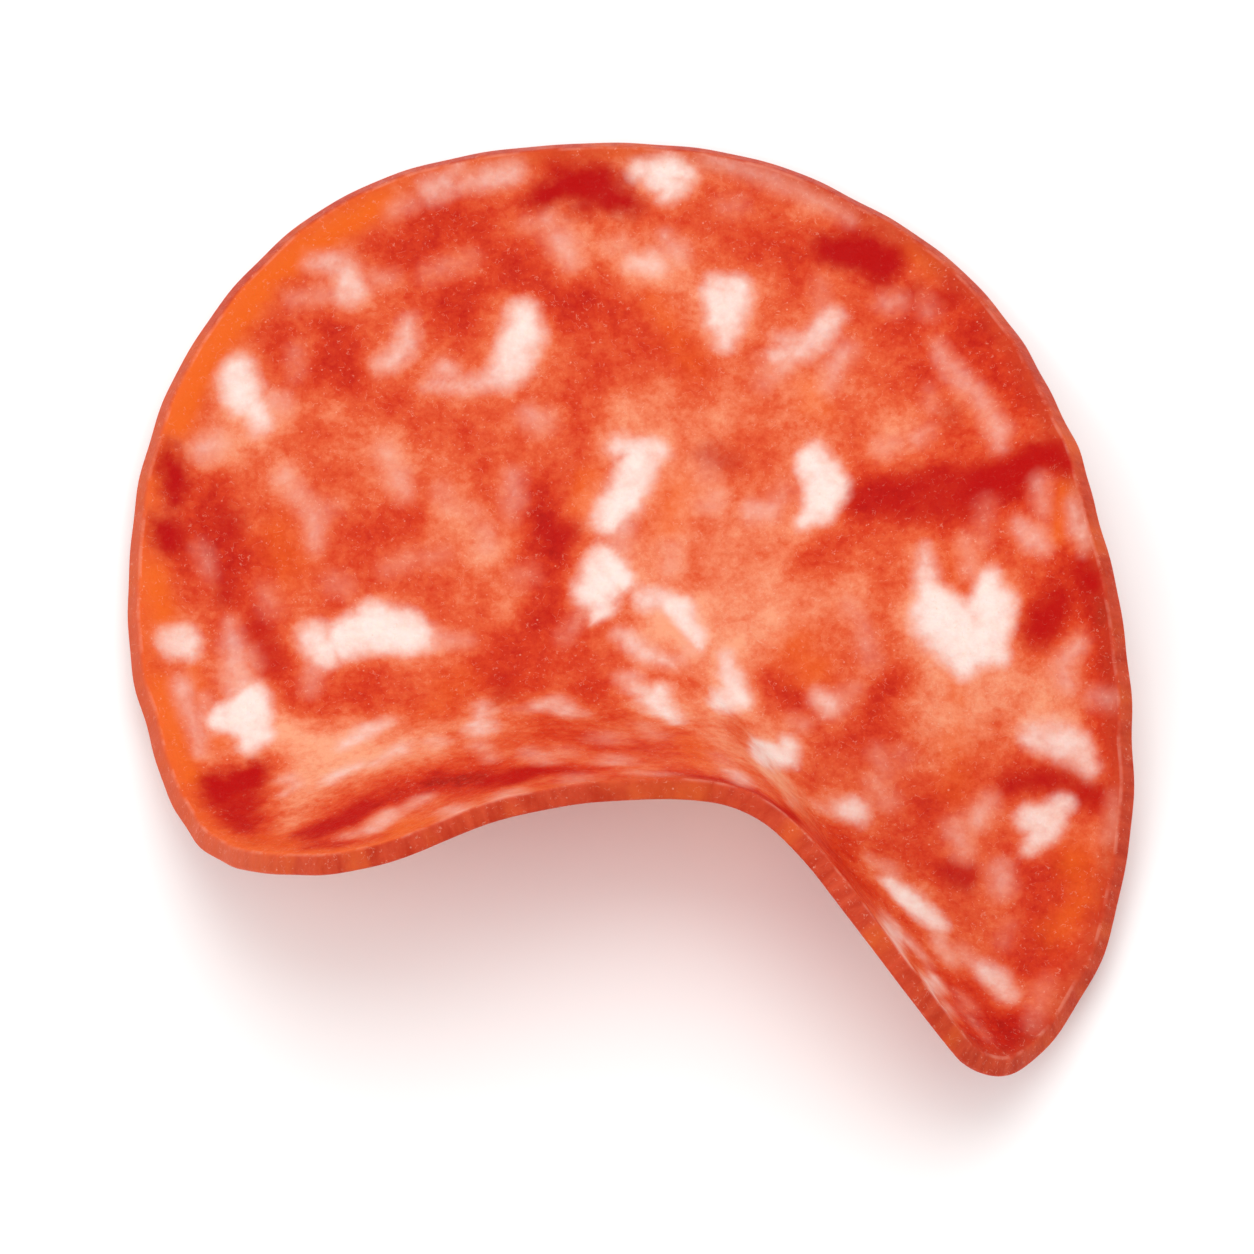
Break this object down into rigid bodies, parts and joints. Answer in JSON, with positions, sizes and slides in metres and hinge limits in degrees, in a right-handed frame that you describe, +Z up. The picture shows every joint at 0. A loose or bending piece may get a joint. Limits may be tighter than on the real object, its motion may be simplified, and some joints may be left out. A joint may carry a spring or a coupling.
{
  "type": "cured sausage slice",
  "caption": "Thin slice of coarse cured sausage, curled: level at the back, front flap raised steeply, with a long tip at the right.",
  "frame": {"origin": "middle of the bounding box's base, on the surface that the slice rests on", "axes": "+Z up; -Y towards the raised front flap; +X towards the side with the long tip"},
  "size_m": [0.0794, 0.0816, 0.0212],
  "materials": {
    "salami": "moist cured meat, orange red lean with white fat pieces, satin with small wet glints"
  },
  "bodies": {
    "root": {"salami_slice": "salami"}
  },
  "joints": []
}
